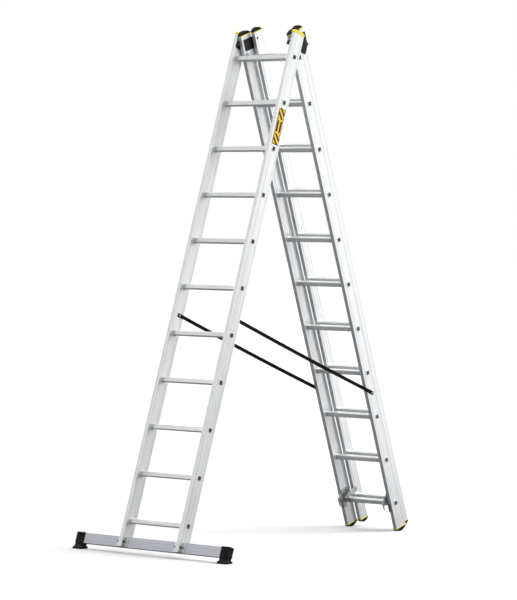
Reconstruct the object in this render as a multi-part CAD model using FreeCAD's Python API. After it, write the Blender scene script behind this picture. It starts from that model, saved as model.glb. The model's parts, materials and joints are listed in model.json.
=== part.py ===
import FreeCAD, Part
import math
import os

# A three-section aluminium ladder of eleven rungs a section, standing as an A-frame.
# World frame, in millimetres: X across the rungs, -Y to the front, Z up, the floor at Z = 0.
# A section is drawn upright in its own frame: X across, Y from its front to its back,
# Z up its stiles from the centre of its top rung. It is then leant over into place.

# Driving dimensions: all sections
rungCount = 11
rungPitch = 280.0
rungSize = 28.0
rungCorner = 4.0
rungWall = 1.5
stileThick = 25.0
stileWall = 2.0
stileCorner = 2.5
stileTop = 140.0
rearTop = 146.0  # the two rear sections stand a little higher over their top rung

# Driving dimensions: each section's outer width, its stile depth and its lean
frontWidth = 470.0
frontDepth = 84.0
frontLean = 18.7
middleWidth = 410.0
middleDepth = 90.0
middleLag = 3.0  # how far its stiles' centres lie behind its rungs
middleLean = 18.3
rearWidth = 344.0
rearDepth = 70.0
rearLag = 12.0
rearOffset = 66.0  # from the middle section's rungs back to the rear section's

# A small hole near the top of each rear stile's inner face
catchHole = (-3.0, 110.0)
catchRadius = 4.5

# The hinge, in the front section's frame and in the middle section's
topRungHeight = 2830.0
hingeFront = (40.0, 40.0)
hingeMiddle = (-20.0, 33.0)
pivotRadius = 6.0
runningGap = 0.05
stopGap = 0.3

# Sheet metal
plateThick = 3.0
rivetRadius = 5.0
rivetHeight = 1.5

# End caps: a stiff liner over the stile's end, and a domed rubber pad on it
linerThick = 5.0
linerLip = 0.8
plugLength = 22.0
plugHeight = 18.0
padBase = 3.0
padHeight = 18.0
padOverhang = 2.0
padEdge = 2.5

# The stabiliser under the front section
barLength = 1100.0
barHeight = 60.0
barDepth = 30.0
barWall = 2.0
barTop = -2897.0
barFront = -17.0
clipBolt = (-29.5, -2927.0)
clipBoltRadius = 4.0
boltHeadRadius = 6.5
boltEnd = 17.0
footOuter = 597.0
footInner = 533.0
shoeWall = 7.0
soleThick = 12.0
soleFlare = 5.0
flareHeight = 20.0

# The spreader straps
strapWidth = 22.0
strapThick = 2.0
strapPlane = 207.5
strapFront = (5.0, -1573.0)
strapMiddle = (-2.0, -2085.0)
strapEnd = 13.0
strapRivet = 2.5

V = FreeCAD.Vector
across = V(1, 0, 0)
nodes = {}


def block(x, y, z):
    # A box from three (low, high) pairs.
    size = [high - low for low, high in (x, y, z)]
    return Part.makeBox(*size, V(x[0], y[0], z[0]))


def roundedFace(width, height, radius):
    # A rectangle with round corners in the XY plane, centred.
    right = width / 2
    top = height / 2
    turn = radius * (1 - math.sqrt(0.5))
    edges = []
    corners = [(1, 1), (-1, 1), (-1, -1), (1, -1)]
    for number, (sx, sy) in enumerate(corners):
        onSide = V(sx * right, sy * (top - radius), 0)
        onEnd = V(sx * (right - radius), sy * top, 0)
        middle = V(sx * (right - turn), sy * (top - turn), 0)
        ends = (onSide, onEnd) if number % 2 == 0 else (onEnd, onSide)
        edges.append(Part.Arc(ends[0], middle, ends[1]).toShape())
    sides = []
    for number, arc in enumerate(edges):
        after = edges[(number + 1) % 4]
        sides.append(arc)
        sides.append(Part.makeLine(arc.Vertexes[-1].Point, after.Vertexes[0].Point))
    return Part.Face(Part.Wire(sides))


def upright(width, depth, radius, low, high):
    # A rounded bar along Z.
    bar = roundedFace(width, depth, radius).extrude(V(0, 0, high - low))
    bar.translate(V(0, 0, low))
    return bar


def crossways(depth, height, radius, low, high):
    # A rounded bar along X, from low to high.
    bar = roundedFace(height, depth, radius).extrude(V(0, 0, high - low))
    bar.rotate(V(0, 0, 0), V(0, 1, 0), 90)
    bar.translate(V(low, 0, 0))
    return bar


def plate(outline, low, high, corner=0.0):
    # A flat plate from x = low to high, its outline a list of (y, z) points.
    points = [V(low, y, z) for y, z in outline]
    shape = Part.Face(Part.makePolygon(points + points[:1])).extrude(V(high - low, 0, 0))
    if corner:
        shape = shape.makeFillet(corner, edgesAlong(shape, across))
    return shape


def edgesAlong(shape, direction):
    # The straight edges that run along a direction.
    found = []
    for edge in shape.Edges:
        if edge.Curve.TypeId != "Part::GeomLine":
            continue
        along = edge.Vertexes[-1].Point - edge.Vertexes[0].Point
        if along.cross(direction).Length < 1e-6:
            found.append(edge)
    return found


def disc(radius, low, high, y, z):
    # A cylinder along X.
    return Part.makeCylinder(radius, high - low, V(low, y, z), across)


def rivetHead(x, side, y, z, radius=rivetRadius, height=rivetHeight):
    # A low round head standing off a face at x, towards side (+1 or -1).
    head = Part.makeCylinder(radius, height, V(x, y, z), V(side, 0, 0))
    rim = [edge for edge in head.Edges if abs(edge.CenterOfMass.x - x - side * height) < 1e-6]
    return head.makeChamfer(height * 0.6, rim)


def leant(shape, angle, offset):
    # A section's shape, leant back (a negative angle) or forward about its top rung, in place.
    placed = shape.copy()
    placed.rotate(V(0, 0, 0), across, angle)
    placed.translate(offset)
    return placed


def frontPlace(shape):
    return leant(shape, -frontLean, frontOrigin)


def middlePlace(shape):
    return leant(shape, middleLean, middleOrigin)


def worldPoint(angle, offset, y, z):
    # A section's (y, z) point in the world's YZ plane.
    a = math.radians(angle)
    return offset + V(0, y * math.cos(a) - z * math.sin(a), y * math.sin(a) + z * math.cos(a))


frontOrigin = V(0, 0, topRungHeight)
hingePoint = worldPoint(-frontLean, frontOrigin, *hingeFront)
middleOrigin = hingePoint - worldPoint(middleLean, V(0, 0, 0), *hingeMiddle)


def padHalf(depth):
    return depth / 2 + padOverhang


def padRadius(depth):
    # The radius of the arc that rises by the pad's height over its half length.
    return (padHalf(depth)**2 + padHeight**2) / (2 * padHeight)


# The rear feet: the middle section's pads touch the floor with their round undersides.
footRadius = padRadius(middleDepth)
lagRise = middleLag * math.sin(math.radians(middleLean))
padCentre = (footRadius - middleOrigin.z - lagRise) / math.cos(math.radians(middleLean))
stileFoot = padCentre - footRadius + padHeight + padBase + linerThick


def rungHeights():
    return [-rungPitch * number for number in range(rungCount)]


def stile(depth, low, width, top=stileTop, lag=0):
    # One hollow grooved stile, standing on the +X side, with its square rung holes.
    # Its centre lies behind the rungs by the lag.
    outer = upright(stileThick, depth, stileCorner, low, top)
    hollow = upright(stileThick - 2 * stileWall, depth - 2 * stileWall, 1.0, low - 1, top + 1)
    grooveDeep = 0.7
    grooveWide = 5.0
    cuts = [hollow]
    for side in (-1, 1):
        face = side * stileThick / 2
        for line in (-0.33, 0.33):
            middle = line * depth
            cuts.append(block((face - grooveDeep, face + grooveDeep),
                              (middle - grooveWide / 2, middle + grooveWide / 2),
                              (low - 1, top + 1)))
        edge = side * depth / 2
        cuts.append(block((-grooveWide / 2, grooveWide / 2),
                          (edge - grooveDeep, edge + grooveDeep),
                          (low - 1, top + 1)))
    for height in rungHeights():
        hole = crossways(rungSize, rungSize, rungCorner, -stileThick, stileThick)
        hole.translate(V(0, -lag, height))
        cuts.append(hole)
    shape = outer.cut(cuts)
    shape.translate(V(width / 2 - stileThick / 2, lag, 0))
    return shape


def rungs(width):
    # Square tubes through both stiles, flared outside and beaded inside, as separate solids.
    lipSize = rungSize + 5
    beadSize = rungSize + 7
    lipThick = 1.0
    beadThick = 1.5
    end = width / 2
    inner = end - stileThick
    tube = crossways(rungSize, rungSize, rungCorner, -end - lipThick, end + lipThick)
    rims = []
    for side in (-1, 1):
        lip = sorted((side * end, side * (end + lipThick)))
        bead = sorted((side * inner, side * (inner - beadThick)))
        rims.append(crossways(lipSize, lipSize, rungCorner + 2, *lip))
        rims.append(crossways(beadSize, beadSize, rungCorner + 3, *bead))
    boreSize = rungSize - 2 * rungWall
    bore = crossways(boreSize, boreSize, rungCorner - rungWall, -end - 5, end + 5)
    one = tube.fuse(rims).cut(bore).removeSplitter()
    solids = []
    for height in rungHeights():
        copy = one.copy()
        copy.translate(V(0, 0, height))
        solids.append(copy)
    return Part.makeCompound(solids)


def capLiner(depth):
    # A stiff plug in the stile's end with a thin flange over it. It stands on z = 0, plug down.
    flange = upright(stileThick + 2 * linerLip, depth + 2 * linerLip, stileCorner, 0, linerThick)
    fit = 2 * stileWall
    plug = upright(stileThick - fit, depth - fit, 1.0, -plugLength, 0)
    room = upright(stileThick - fit - 5, depth - fit - 5, 1.0, -plugLength - 1, -3)
    return flange.fuse(plug.cut(room)).removeSplitter()


def capPad(depth):
    # The domed rubber pad, standing on z = 0.
    half = stileThick / 2 + linerLip
    reach = padHalf(depth)
    low = V(-half, -reach, 0)
    rise = V(-half, -reach, padBase)
    top = V(-half, 0, padBase + padHeight)
    fall = V(-half, reach, padBase)
    high = V(-half, reach, 0)
    dome = Part.Arc(rise, top, fall).toShape()
    outline = [Part.makeLine(low, rise), dome, Part.makeLine(fall, high), Part.makeLine(high, low)]
    pad = Part.Face(Part.Wire(outline)).extrude(V(2 * half, 0, 0))
    arcs = [edge for edge in pad.Edges if edge.Curve.TypeId == "Part::GeomCircle"]
    return pad.makeFillet(padEdge, arcs)


def topPlug(depth):
    # The front section's plain end plug, its front and back edges bevelled.
    height = plugHeight
    bevel = 8.0
    half = depth / 2 + linerLip
    outline = [(-half, 0), (-half, height - bevel), (-half + bevel, height),
               (half - 2 * bevel, height), (half, height - bevel), (half, 0)]
    head = plate(outline, -stileThick / 2 - linerLip, stileThick / 2 + linerLip, 2.0)
    fit = 2 * stileWall
    plug = upright(stileThick - fit, depth - fit, 1.0, -plugLength, 0)
    room = upright(stileThick - fit - 5, depth - fit - 5, 1.0, -plugLength - 1, -3)
    return head.fuse(plug.cut(room)).removeSplitter()


def atStile(shape, width, depthOffset, height, flipped=False):
    # A shape drawn about a stile's axis, moved to the +X stile's end.
    moved = shape.copy()
    if flipped:
        moved.rotate(V(0, 0, 0), V(1, 0, 0), 180)
    moved.translate(V(width / 2 - stileThick / 2, depthOffset, height))
    return moved


def otherSide(shape):
    return shape.mirror(V(0, 0, 0), across)


def addPair(name, shape, place):
    # The +X side's piece and its mirror image, as two nodes.
    nodes[name + "_right"] = place(shape)
    nodes[name + "_left"] = place(otherSide(shape))


def addGroup(name, shapes, place):
    # Identical small fasteners on both sides, as one node of separate solids.
    solids = shapes + [otherSide(shape) for shape in shapes]
    nodes[name] = place(Part.makeCompound(solids))


def frontSection():
    # The wide front section: stiles cut away at the foot for the stabiliser, rungs and plugs.
    low = barTop - barHeight
    shape = stile(frontDepth, low, frontWidth)
    notch = block((0, frontWidth), (barFront, frontDepth), (low - 1, barTop))
    boltHole = disc(clipBoltRadius, 0, frontWidth, *clipBolt)
    face = frontWidth / 2 - stileThick
    rivetHole = disc(strapRivet, face - 1, face + stileWall, *strapFront)
    addPair("front_stile", shape.cut([notch, boltHole, rivetHole]), frontPlace)
    nodes["front_rungs"] = frontPlace(rungs(frontWidth))
    plug = atStile(topPlug(frontDepth), frontWidth, 0, stileTop)
    addPair("front_top_plug", plug, frontPlace)


def stabiliser():
    # A wide bar in the notches of the front stiles, on two rubber feet.
    half = barLength / 2
    middle = barFront + barDepth / 2
    outer = block((-half, half), (barFront, barFront + barDepth), (barTop - barHeight, barTop))
    hollow = block((-half - 1, half + 1),
                   (barFront + barWall, barFront + barDepth - barWall),
                   (barTop - barHeight + barWall, barTop - barWall))
    nodes["stabiliser_bar"] = frontPlace(outer.cut(hollow))

    wall = shoeWall
    shoe = plate([(barFront - wall, barTop + 4), (barFront + barDepth + wall, barTop + 4),
                  (barFront + barDepth + wall, barTop - barHeight - 40),
                  (barFront - wall, barTop - barHeight - 40)], footInner, footOuter)
    shoe = shoe.makeFillet(2.0, shoe.Edges)
    shoe = frontPlace(shoe)
    foot = worldPoint(-frontLean, frontOrigin, middle, barTop - barHeight - 32)
    halfDepth = (barDepth + 2 * wall) / 2 / math.cos(math.radians(frontLean))
    low = soleOutline(foot.y, halfDepth + soleFlare, soleFlare, soleThick)
    high = soleOutline(foot.y + 4, halfDepth - 2, -2.0, soleThick + flareHeight)
    skirt = Part.makeLoft([low, high], True)
    sole = Part.Face(soleOutline(foot.y, halfDepth + soleFlare, soleFlare, 0))
    sole = sole.extrude(V(0, 0, soleThick))
    above = block((0, 2 * footOuter), (-2 * topRungHeight, 0), (soleThick, topRungHeight))
    shoe = shoe.common(above).fuse([skirt, sole]).removeSplitter()
    end = block((-half, half), (barFront, barFront + barDepth), (barTop - barHeight, barTop))
    shoe = shoe.cut(frontPlace(end))
    nodes["stabiliser_foot_right"] = shoe
    nodes["stabiliser_foot_left"] = otherSide(shoe)


def soleOutline(y, halfDepth, flare, z):
    # A rectangle at height z about the foot, wider than the shoe by flare at each end.
    left = footInner - flare
    right = footOuter + flare
    corners = [(left, y - halfDepth), (right, y - halfDepth),
               (right, y + halfDepth), (left, y + halfDepth)]
    points = [V(px, py, z) for px, py in corners]
    return Part.makePolygon(points + points[:1])


def stabiliserClips():
    # Angle clips either side of each stile's tongue, held by a bolt along X and two screws.
    leg = 28.0
    thick = 2.5
    low = barTop - barHeight + 3
    high = barTop - 3
    outerFace = frontWidth / 2
    innerFace = outerFace - stileThick
    front = -frontDepth / 2 + 2
    for name, face, side in (("outer", outerFace, 1), ("inner", innerFace, -1)):
        onStile = block(sorted((face, face + side * thick)), (front, barFront), (low, high))
        onBar = block(sorted((face, face + side * leg)), (barFront - thick, barFront), (low, high))
        clip = onStile.fuse(onBar).removeSplitter()
        clip = clip.cut(disc(clipBoltRadius, face - 5, face + 5, *clipBolt))
        addPair("stabiliser_clip_" + name, clip, frontPlace)

    # Each bolt's round head is on its stile's right. Its nut is on the left, well down the shank.
    bolts = []
    screws = []
    hexRadius = 7.5
    for centre in (-1, 1):
        middle = centre * (frontWidth - stileThick) / 2
        headFace = middle + stileThick / 2 + thick
        nutFace = middle - stileThick / 2 - thick
        shank = disc(clipBoltRadius, nutFace - boltEnd, headFace, *clipBolt)
        head = disc(boltHeadRadius, headFace, headFace + 3, *clipBolt)
        nut = hexagon(hexRadius, nutFace - 6.5, nutFace, *clipBolt)
        bolts.append(shank.fuse(head).removeSplitter())
        bolts.append(nut.cut(disc(clipBoltRadius, nutFace - 9, nutFace + 1, *clipBolt)))
        for side in (-1, 1):
            x = middle + side * (stileThick / 2 + leg * 0.62)
            head = Part.makeCylinder(4.5, 2.2, V(x, barFront - thick, clipBolt[1]), V(0, -1, 0))
            screws.append(head)
    nodes["stabiliser_bolts"] = frontPlace(Part.makeCompound(bolts))
    nodes["stabiliser_screws"] = frontPlace(Part.makeCompound(screws))


def hexagon(radius, low, high, y, z):
    # A hexagonal prism along X.
    points = []
    for number in range(6):
        turn = math.radians(60 * number)
        points.append(V(low, y + radius * math.cos(turn), z + radius * math.sin(turn)))
    return Part.Face(Part.makePolygon(points + points[:1])).extrude(V(high - low, 0, 0))


def hingeBrackets():
    # A steel plate on each front stile's inner face. Its back flange is the opening's stop.
    face = frontWidth / 2 - stileThick
    flangeFront = 110.0
    flangeTop = 129.0
    flangeReach = 25.0
    opening = math.radians(frontLean + middleLean)
    middleBack = middleLag + middleDepth / 2 - hingeMiddle[0]
    reach = flangeFront - hingeFront[0]
    rise = (middleBack + stopGap - reach * math.cos(opening)) / math.sin(opening)
    flangeLow = hingeFront[1] + rise
    back = flangeFront + plateThick
    outline = [(-40, 62), (-40, 94), (-28, 104), (10, 112), (66, 150), (78, 150),
               (92, flangeTop), (back, flangeTop), (back, flangeLow), (62, flangeLow),
               (56, 26), (26, 26), (22, 56), (-6, 56)]
    sheet = plate(outline, face - plateThick, face)
    flange = block((face - flangeReach, face), (flangeFront, back), (flangeLow, flangeTop))
    tab = block((face - 23, face), (-40, -40 + plateThick), (66, 90))
    lug = disc(5.0, face - plateThick, face, back + 1, flangeTop - 6)
    bracket = sheet.fuse([flange, tab, lug]).removeSplitter()
    y, z = hingeFront
    bracket = bracket.cut(disc(pivotRadius, face - 10, face + 1, y, z))
    addPair("hinge_bracket", bracket, frontPlace)

    heads = []
    for spot in ((-18, 88), (8, 74), (8, 98), (30, 84)):
        heads.append(rivetHead(face - plateThick, -1, *spot))
    addGroup("hinge_bracket_rivets", heads, frontPlace)

    # The pivot is a stud on the bracket. It passes through the middle stile to its nut.
    inside = middleWidth / 2 - stileThick
    stud = disc(pivotRadius, inside - 11, face, y, z)
    addPair("hinge_pivot", stud, frontPlace)
    nut = hexagon(11.0, inside - 9.5, inside - 1.8, y, z)
    washer = disc(12.0, inside - 1.8, inside - 0.3, y, z)
    nut = nut.fuse(washer).removeSplitter().cut(disc(pivotRadius, inside - 12, inside, y, z))
    addGroup("hinge_nuts", [nut], frontPlace)


def labelPlate():
    # A blank plastic label on the outer face of the right front stile.
    face = frontWidth / 2
    label = plate([(-26, -534), (26, -534), (26, -316), (-26, -316)], face, face + 0.5, 4.0)
    nodes["front_label"] = frontPlace(label)


def guidedSection(name, width, depth, offset, lag):
    # A section that nests in the one before it: stiles, rungs, and a cap at each stile end.
    def place(shape):
        moved = shape.copy()
        moved.translate(V(0, offset, 0))
        return middlePlace(moved)

    shape = stile(depth, stileFoot, width, rearTop, lag)
    if name == "rear":
        inner = width / 2 - stileThick
        shape = shape.cut(disc(catchRadius, inner - 1, inner + stileWall + 1, *catchHole))
    if name == "middle":
        pivotHole = disc(pivotRadius + runningGap, 0, width, *hingeMiddle)
        face = width / 2
        rivetHole = disc(strapRivet, face - stileWall, face + 1, *strapMiddle)
        shape = shape.cut([pivotHole, rivetHole])
    addPair(name + "_stile", shape, place)
    nodes[name + "_rungs"] = place(rungs(width))
    for end, height, flipped in (("top", rearTop, False), ("foot", stileFoot, True)):
        liner = atStile(capLiner(depth), width, lag, height, flipped)
        shift = -linerThick if flipped else linerThick
        pad = atStile(capPad(depth), width, lag, height + shift, flipped)
        addPair(name + "_" + end + "_liner", liner, place)
        addPair(name + "_" + end + "_pad", pad, place)


def guidePlates():
    # A plate on each middle stile's inner face that reaches back and wraps the rear stile.
    face = middleWidth / 2 - stileThick
    rearBack = rearOffset + rearLag + rearDepth / 2
    wrap = rearBack + 2.0
    sheet = plate([(-25, 54), (-25, 124), (wrap + plateThick, 124), (wrap + plateThick, 54)],
                  face - plateThick, face)
    flange = block((face - 28, face), (wrap, wrap + plateThick), (62, 116))
    addPair("guide_plate", sheet.fuse(flange).removeSplitter(), middlePlace)
    heads = []
    for spot in ((9, 90), (-14, 66), (-14, 112), (26, 66), (26, 112)):
        heads.append(rivetHead(face - plateThick, -1, *spot, rivetRadius - 1, 1.2))
    addGroup("guide_plate_rivets", heads, middlePlace)


def straps():
    # Flat webbing from each front stile to the middle one, pulled straight when open.
    start = worldPoint(-frontLean, frontOrigin, *strapFront)
    end = worldPoint(middleLean, middleOrigin, *strapMiddle)
    length = (end - start).Length
    band = crossways(strapWidth, length + 2 * strapEnd, 5.0,
                     strapPlane - strapThick / 2, strapPlane + strapThick / 2)
    band.translate(V(0, 0, length / 2))
    for height in (0, length):
        band = band.cut(disc(strapRivet + 0.2, strapPlane - 5, strapPlane + 5, 0, height))
    slope = math.degrees(math.atan2(end.y - start.y, end.z - start.z))
    band.rotate(V(0, 0, 0), across, -slope)
    band.translate(start)
    nodes["strap_right"] = band
    nodes["strap_left"] = otherSide(band)
    print("strap length between rivets", round(length, 1))

    frontFace = frontWidth / 2 - stileThick
    middleFace = middleWidth / 2
    inner = strapPlane - strapThick / 2
    outer = strapPlane + strapThick / 2
    for name, spot, wall, washer, head, place in (
        ("front", strapFront, (outer, frontFace + stileWall), (outer, frontFace),
         (inner - 1.1, inner), frontPlace),
        ("middle", strapMiddle, (middleFace - stileWall, inner), (middleFace, inner - 0.1),
         (outer + 0.1, outer + 1.2), middlePlace),
    ):
        y, z = spot
        low = min(wall[0], head[0])
        high = max(wall[1], head[1])
        rivet = disc(strapRivet, low, high, y, z)
        rivet = rivet.fuse([disc(7.0, *washer, y, z), disc(6.5, *head, y, z)]).removeSplitter()
        addGroup(name + "_strap_rivets", [rivet], place)


def hooks():
    # Swinging hooks at the foot of each rear section. They drop over a rung of the section
    # before it: the rear section's over the middle one's, the middle's over the front one's.
    lastRung = -rungPitch * (rungCount - 1)
    reach = rungSize / 2

    face = middleWidth / 2 - stileThick
    folded = foldedOffset()
    pin = (-20.0, lastRung + 48)
    edgeFront = middleLag - middleDepth / 2
    base = plate([(edgeFront, lastRung - 40), (edgeFront, lastRung + 78), (8, lastRung + 78),
                  (14, lastRung + 30), (-19, lastRung + 22), (-19, lastRung - 40)],
                 face - plateThick, face, 2.0)
    edge = block((face - plateThick, face + 14),
                 (edgeFront - plateThick, edgeFront),
                 (lastRung - 40, lastRung + 8))
    base = base.fuse(edge).removeSplitter()
    addPair("middle_hook_plate", base, middlePlace)
    inner = face - plateThick
    pinShape = disc(4.0, inner - 5.5, inner, *pin)
    pinShape = pinShape.fuse(disc(7.0, inner - 5.5, inner - 4, *pin)).removeSplitter()
    addPair("middle_hook_pin", pinShape, middlePlace)
    front = -folded[0] - reach
    top = lastRung - folded[1] + reach
    swinging = hookPlate(pin, front - 1.5, top + 1.5, 9.0, 22.0)
    shape = plate(swinging, inner - 3.7, inner - 0.7, 2.0)
    shape = shape.cut(disc(4.0 + runningGap, 0, face, *pin))
    addPair("middle_hook", shape, middlePlace)

    face = rearWidth / 2 - stileThick
    pin = (rearOffset - 12, lastRung + 50)
    pinShape = disc(4.0, face - 5.5, face, *pin)
    pinShape = pinShape.fuse(disc(7.0, face - 5.5, face - 4, *pin)).removeSplitter()
    addPair("rear_hook_pin", pinShape, middlePlace)
    swinging = hookPlate(pin, -reach - 0.8, lastRung + reach + 0.3, 8.0, 20.0)
    shape = plate(swinging, face - 3.7, face - 0.7, 2.0)
    shape = shape.cut(disc(4.0 + runningGap, 0, face, *pin))
    addPair("rear_hook", shape, middlePlace)


def foldedOffset():
    # Where the middle section's top rung lies in the front section's frame when folded.
    return (hingeFront[0] - hingeMiddle[0], hingeFront[1] - hingeMiddle[1])


def hookPlate(pin, front, under, prong, drop):
    # The outline of a hook: an eye at the pin, an arm over the rung and a prong before it.
    eye = 12.0
    arm = 16.0
    y, z = pin
    return [(y + eye, z + eye), (y - eye, z + eye), (front - prong, under + arm + 14),
            (front - prong - 3, under + arm + 12), (front - prong, under - drop),
            (front - prong / 2, under - drop - 5), (front, under - drop), (front, under),
            (front + 30, under), (y + eye, z - eye)]


def finish():
    # Centres the whole on the origin, stands it on the floor and writes each node.
    box = FreeCAD.BoundBox()
    for shape in nodes.values():
        box.add(shape.optimalBoundingBox(False))
    shift = V(-box.Center.x, -box.Center.y, 0)
    os.makedirs("parts", exist_ok=True)
    for name, shape in nodes.items():
        shape.translate(shift)
        if not shape.isValid():
            print("not valid:", name)
        shape.exportStep("parts/" + name + ".step")
    lastRung = -rungPitch * (rungCount - 1)
    spots = {
        "hinge": hingePoint,
        "front origin": frontOrigin,
        "middle origin": middleOrigin,
        "middle hook pin": worldPoint(middleLean, middleOrigin, -20.0, lastRung + 48),
        "rear hook pin": worldPoint(middleLean, middleOrigin, rearOffset - 12, lastRung + 50),
    }
    for name, point in spots.items():
        moved = point + shift
        print(name, round(moved.y, 3), round(moved.z, 3))
    print("lowest", round(box.ZMin, 3), "size", box.XLength, box.YLength, box.ZLength)
    print(len(nodes), "nodes")


frontSection()
stabiliser()
stabiliserClips()
hingeBrackets()
labelPlate()
guidedSection("middle", middleWidth, middleDepth, 0, middleLag)
guidePlates()
straps()
guidedSection("rear", rearWidth, rearDepth, rearOffset, rearLag)
hooks()
finish()
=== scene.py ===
import json
import math

import bmesh
import bpy
from mathutils import Matrix, Vector


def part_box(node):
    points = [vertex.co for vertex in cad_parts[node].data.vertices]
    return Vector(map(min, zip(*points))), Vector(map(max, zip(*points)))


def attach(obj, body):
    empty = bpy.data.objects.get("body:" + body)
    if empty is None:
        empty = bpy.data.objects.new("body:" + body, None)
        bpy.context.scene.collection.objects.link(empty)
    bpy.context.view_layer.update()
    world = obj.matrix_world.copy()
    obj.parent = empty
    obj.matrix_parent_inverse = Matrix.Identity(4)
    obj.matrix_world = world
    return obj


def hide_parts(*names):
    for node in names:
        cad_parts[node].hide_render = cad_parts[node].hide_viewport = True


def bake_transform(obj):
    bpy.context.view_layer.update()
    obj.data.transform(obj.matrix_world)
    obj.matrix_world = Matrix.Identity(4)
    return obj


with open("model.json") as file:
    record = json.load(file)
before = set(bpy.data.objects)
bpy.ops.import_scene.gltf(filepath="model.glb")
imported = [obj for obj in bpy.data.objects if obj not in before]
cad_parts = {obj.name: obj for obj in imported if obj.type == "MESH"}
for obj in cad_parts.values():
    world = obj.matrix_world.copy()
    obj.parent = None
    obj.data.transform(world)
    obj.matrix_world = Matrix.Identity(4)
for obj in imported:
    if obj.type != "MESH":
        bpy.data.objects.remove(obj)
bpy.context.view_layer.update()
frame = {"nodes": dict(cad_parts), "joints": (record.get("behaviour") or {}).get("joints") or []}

joints = {joint["name"]: joint for joint in frame["joints"]}

# How the sections stand: a section's own frame has X across, Y from front to back,
# and Z up its stiles from its top rung.
ladder = {
    "rungs": 11,
    "rungPitch": 0.280,
    "rungSize": 0.028,
    "stileThick": 0.025,
    "hingeOnFront": (0.040, 0.040),  # depth and height of the pivot from the top rung
    "hingeOnMiddle": (-0.020, 0.033),
    "rearOffset": 0.066,
    "frontHalfWidth": 0.235,
    "middleHalfWidth": 0.205,
    "rearHalfWidth": 0.172,
}
hinge = Vector((0, *joints["fold"]["pos_m"][1:]))
slideAxis = joints["extend"]["axis"]
rearLean = math.atan2(-slideAxis[1], slideAxis[2])
frontLean = math.radians(joints["fold"]["range_deg"][1]) - rearLean


def sectionPlace(turn, hingeSpot):
    shift = Matrix.Translation((0, -hingeSpot[0], -hingeSpot[1]))
    return Matrix.Translation(hinge) @ Matrix.Rotation(turn, 4, "X") @ shift


frontPlace = sectionPlace(-frontLean, ladder["hingeOnFront"])
middlePlace = sectionPlace(rearLean, ladder["hingeOnMiddle"])
rearPlace = middlePlace @ Matrix.Translation((0, ladder["rearOffset"], 0))
sides = {"left": -1, "right": 1}


def addNode(tree, kind, **settings):
    node = tree.nodes.new(kind)
    for key, value in settings.items():
        setattr(node, key, value)
    return node


def setInputs(node, **values):
    for key, value in values.items():
        node.inputs[key].default_value = value
    return node


def feed(tree, socket, source):
    # a socket takes a link from another socket, or a plain value
    if isinstance(source, bpy.types.NodeSocket):
        tree.links.new(source, socket)
    else:
        socket.default_value = source


def calc(tree, operation, first, second=0.0, third=None, clamp=False):
    node = addNode(tree, "ShaderNodeMath", operation=operation, use_clamp=clamp)
    feed(tree, node.inputs[0], first)
    feed(tree, node.inputs[1], second)
    if third is not None:
        feed(tree, node.inputs[2], third)
    return node.outputs[0]


def mixColour(tree, factor, first, second, blend="MIX"):
    node = addNode(tree, "ShaderNodeMix", data_type="RGBA", blend_type=blend)
    feed(tree, node.inputs[0], factor)
    feed(tree, node.inputs[6], first)
    feed(tree, node.inputs[7], second)
    return node.outputs[2]


def spread(tree, value, low, high, newLow=0.0, newHigh=1.0):
    node = addNode(tree, "ShaderNodeMapRange")
    feed(tree, node.inputs[0], value)
    for number, limit in enumerate((low, high, newLow, newHigh)):
        node.inputs[number + 1].default_value = limit
    return node.outputs[0]


def noise(tree, vector, scale, detail=3.0, roughness=0.55, distortion=0.0):
    node = addNode(tree, "ShaderNodeTexNoise")
    feed(tree, node.inputs["Vector"], vector)
    feed(tree, node.inputs["Scale"], scale)
    node.inputs["Detail"].default_value = detail
    node.inputs["Roughness"].default_value = roughness
    node.inputs["Distortion"].default_value = distortion
    return node.outputs[0]


def mapped(tree, vector, scale=(1, 1, 1), turn=(0, 0, 0), shift=(0, 0, 0)):
    node = addNode(tree, "ShaderNodeMapping")
    feed(tree, node.inputs["Vector"], vector)
    feed(tree, node.inputs["Scale"], scale)
    node.inputs["Rotation"].default_value = turn
    node.inputs["Location"].default_value = shift
    return node.outputs[0]


def newGroup(name, inputs, outputs):
    group = bpy.data.node_groups.new(name, "ShaderNodeTree")
    for socketName, kind, default in inputs:
        socket = group.interface.new_socket(socketName, in_out="INPUT", socket_type=kind)
        if default is not None:
            socket.default_value = default
    for socketName, kind in outputs:
        group.interface.new_socket(socketName, in_out="OUTPUT", socket_type=kind)
    return group, addNode(group, "NodeGroupInput"), addNode(group, "NodeGroupOutput")


def useGroup(tree, group, **values):
    node = addNode(tree, "ShaderNodeGroup", node_tree=group)
    for key, value in values.items():
        feed(tree, node.inputs[key], value)
    return node


midTones = (0.35, 0.65)  # the band of a noise that is stretched to full contrast


def makeDrawnLines():
    # the fine lines and broad streaks that an extrusion die leaves along a profile
    group, given, result = newGroup(
        "drawnLines",
        [("Vector", "NodeSocketVector", None), ("Stretch", "NodeSocketVector", (300, 300, 2))],
        [("Lines", "NodeSocketFloat"), ("Streaks", "NodeSocketFloat")],
    )
    fine = mapped(group, given.outputs["Vector"], scale=given.outputs["Stretch"])
    lines = noise(group, fine, 3.0, detail=4.0, roughness=0.65)
    feed(group, result.inputs["Lines"], spread(group, lines, 0.3, 0.7))
    streaks = noise(group, fine, 0.35, detail=2.0)
    feed(group, result.inputs["Streaks"], spread(group, streaks, *midTones))
    return group


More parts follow.
